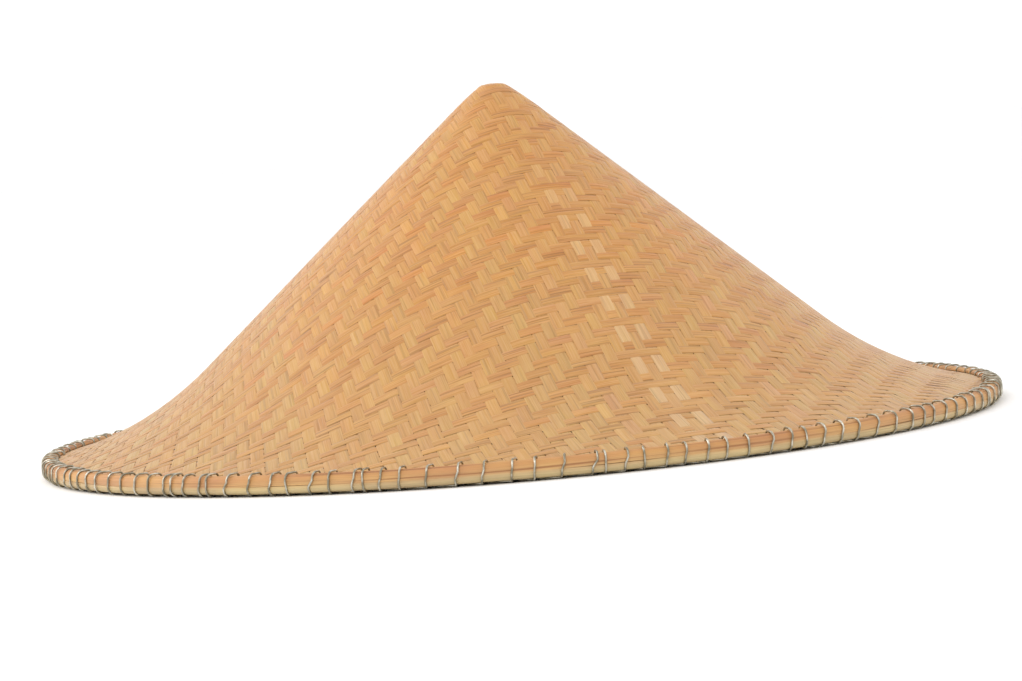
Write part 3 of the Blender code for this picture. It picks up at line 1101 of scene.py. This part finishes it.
@dataclass
class HeadTies:
    """Twisted wires that hang the band from the openwork net."""

    count: int = 6
    strand_radius: float = 0.34 * MM
    lay: float = 3.2 * MM

    def build(self, material: bpy.types.Material) -> None:
        """Twist each tie and make it up."""
        for number in range(1, self.count + 1):
            node = f"head_ring_tie_{number}"
            low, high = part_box(node)
            centre = (low + high) / 2
            stock = Stock(f"head_tie_{number}", Slot.WIRE, (node,))
            for strand in range(2):
                self.add_strand(stock, centre, low.z, high.z, strand, number)
            stock.make_up(material)

    def add_strand(self, stock: Stock, centre: Vector, bottom: float, top: float, strand: int,
                   number: int) -> None:
        """One of a tie's two strands."""
        height = np.linspace(bottom - 1.2 * MM, top + 0.9 * MM, 60)
        phase = FULL_TURN * (height - bottom) / self.lay + math.pi * strand + number
        spread = self.strand_radius * (1.02 + 1.1 * np.exp(-((height - bottom) / (1.4 * MM)) ** 2))
        route = np.stack(
            (centre.x + spread * np.cos(phase), centre.y + spread * np.sin(phase), height), axis=-1
        )
        add_round_wire(stock, route, self.strand_radius, 8, 30.0 + number + strand)


# ---- Studio ---------------------------------------------------------------------------


@dataclass
class Studio:
    """Pale floor, soft light and the camera."""

    distance: float = 1.5
    elevation: float = math.radians(5.186)
    roll: float = math.radians(4.889)
    aim_right: float = 0.003484
    aim_down: float = 0.02823
    lens_mm: float = 114.58
    sensor_mm: float = 36.0
    surround: float = 1.08
    floor_half: float = 40.0
    floor_tone: float = 0.93
    lit_point: tuple[float, float, float] = (0.0, 0.0, 0.07)
    # of each light: name, place, size, watts
    lights: tuple[tuple[str, tuple[float, float, float], float, float], ...] = (
        ("left_softbox", (-1.35, 0.25, 0.75), 1.2, 8.0),
        ("right_softbox", (1.35, 0.45, 0.75), 1.2, 2.0),
        ("front_softbox", (-0.6, -1.3, 1.5), 0.5, 6.0),
    )

    def build(self) -> None:
        """Set up floor, lights and camera."""
        self.add_world()
        self.add_floor()
        for name, place, size, watts in self.lights:
            self.add_area_light(name, place, size, watts)
        self.add_camera()
        bpy.context.scene.view_settings.view_transform = 'Standard'

    def add_world(self) -> None:
        """An even near-white surround."""
        world = bpy.data.worlds.new("studio")
        world.use_nodes = True
        background = world.node_tree.nodes["Background"]
        background.inputs["Color"].default_value = (1.0, 1.0, 1.0, 1.0)
        background.inputs["Strength"].default_value = self.surround
        bpy.context.scene.world = world

    def add_floor(self) -> None:
        """A wide plain floor under the rim."""
        mesh = bpy.data.meshes.new("floor")
        half, tone = self.floor_half, self.floor_tone
        corners = [(-half, -half, 0.0), (half, -half, 0.0), (half, half, 0.0), (-half, half, 0.0)]
        mesh.from_pydata(corners, [], [(0, 1, 2, 3)])
        sheet = NodeSheet("floor_paper")
        sheet.set(Base_Color=(tone, tone, tone, 1.0), Roughness=0.9)
        mesh.materials.append(sheet.material)
        add_object("floor", mesh)

    def add_area_light(self, name: str, place: tuple[float, float, float], size: float,
                       watts: float) -> None:
        """A square softbox that faces the hat."""
        data = bpy.data.lights.new(name, 'AREA')
        data.size = size
        data.energy = watts
        light = add_object(name, data)
        light.location = place
        toward = Vector(self.lit_point) - Vector(place)
        light.rotation_euler = toward.to_track_quat('-Z', 'Y').to_euler()

    def add_camera(self) -> None:
        """A long lens a little above the brim, rolled slightly."""
        data = bpy.data.cameras.new("camera")
        data.lens = self.lens_mm
        data.sensor_width = self.sensor_mm
        camera = add_object("camera", data)
        up_share, out_share = math.sin(self.elevation), math.cos(self.elevation)
        place = self.distance * Vector((0.0, -out_share, up_share))
        forward = -place.normalized()
        right = Vector((1.0, 0.0, 0.0))
        up = right.cross(forward)
        rolled_right = math.cos(self.roll) * right - math.sin(self.roll) * up
        rolled_up = math.sin(self.roll) * right + math.cos(self.roll) * up
        aim = (forward - self.aim_right * rolled_right + self.aim_down * rolled_up).normalized()
        side = (rolled_right - aim * rolled_right.dot(aim)).normalized()
        top = side.cross(aim)
        camera.matrix_world = Matrix((
            (side.x, top.x, -aim.x, place.x),
            (side.y, top.y, -aim.y, place.y),
            (side.z, top.z, -aim.z, place.z),
            (0.0, 0.0, 0.0, 1.0),
        ))
        bpy.context.scene.camera = camera


# ---- Assembly -------------------------------------------------------------------------


def build_rim(profile: HatProfile, wire: bpy.types.Material) -> None:
    """The two hoops and the wire that whips them together."""
    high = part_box("upper_rim_hoop")[1]
    outer, hoop_top = high.x, high.z
    lower_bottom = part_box("lower_rim_hoop")[0].z
    inner = outer - HOOP_WIDTH
    weave_top = float(profile.section(np.array(profile.slant_at(inner)))[1])
    seam = lower_bottom + SEAM_SHARE * (hoop_top - lower_bottom)
    edge_tone = colour(198, 154, 101)
    upper = RimHoop(
        name="upper_hoop_split", node="upper_rim_hoop", slot=Slot.CORE,
        tone=colour(193, 139, 82), edge_tone=edge_tone, pure_end=1.0,
        finish=HoopFinish("split_core", colour(138, 84, 42), line_amount=0.7, roughness=0.50),
        bottom=(weave_top + 0.05 * MM, seam), top=(hoop_top - 0.4 * MM, hoop_top),
        corners=(0.12 * MM, 2.7 * MM, 1.2 * MM, 0.1 * MM),
        lap_azimuth=math.radians(75), knuckles=(), seed=5,
    )
    lower = RimHoop(
        name="lower_hoop_split", node="lower_rim_hoop", slot=Slot.SKIN,
        tone=colour(196, 173, 126), edge_tone=edge_tone,
        finish=HoopFinish("split_skin", colour(150, 128, 80), line_amount=0.35, roughness=0.40),
        bottom=(lower_bottom + 0.3 * MM, lower_bottom), top=(weave_top - 0.95 * MM, seam),
        corners=(2.5 * MM, 0.12 * MM, 0.1 * MM, 1.2 * MM),
        lap_azimuth=math.radians(132), knuckles=(205.0, 338.0, 61.0, 118.0), seed=6,
    )
    for hoop in (upper, lower):
        hoop.build(inner, outer)
    for number in range(1, RimWire.lengths + 1):
        RimWire(number, inner, outer, lower_bottom - WIRE_BELOW, hoop_top + WIRE_ABOVE).build(wire)


def main() -> None:
    """Build the hat from the outside in, then the studio."""
    logging.basicConfig(level=logging.INFO, format="%(name)s: %(message)s")
    profile = HatProfile(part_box("outer_weave")[1].z)
    pattern = FlatPattern(profile)
    wire = WireFinish("galvanised_wire", colour(136, 130, 112), colour(212, 207, 192)).material()
    TwillWeave(pattern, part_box("weave_selvedge")[1].x - SPLINT_END).build()
    build_rim(profile, wire)
    edge_slant = profile.slant_at(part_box("leaf_lining")[1].x)
    LeafLining(profile, edge_slant).build()
    Openwork(profile, edge_slant).build()
    band_low, band_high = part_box("head_band")
    HeadBand(band_high.x - BAND_THICKNESS, band_high.x, band_low.z, band_high.z).build()
    HeadTies().build(wire)
    Studio().build()
    LOG.info("hat and studio built")


if __name__ == "__main__":
    main()
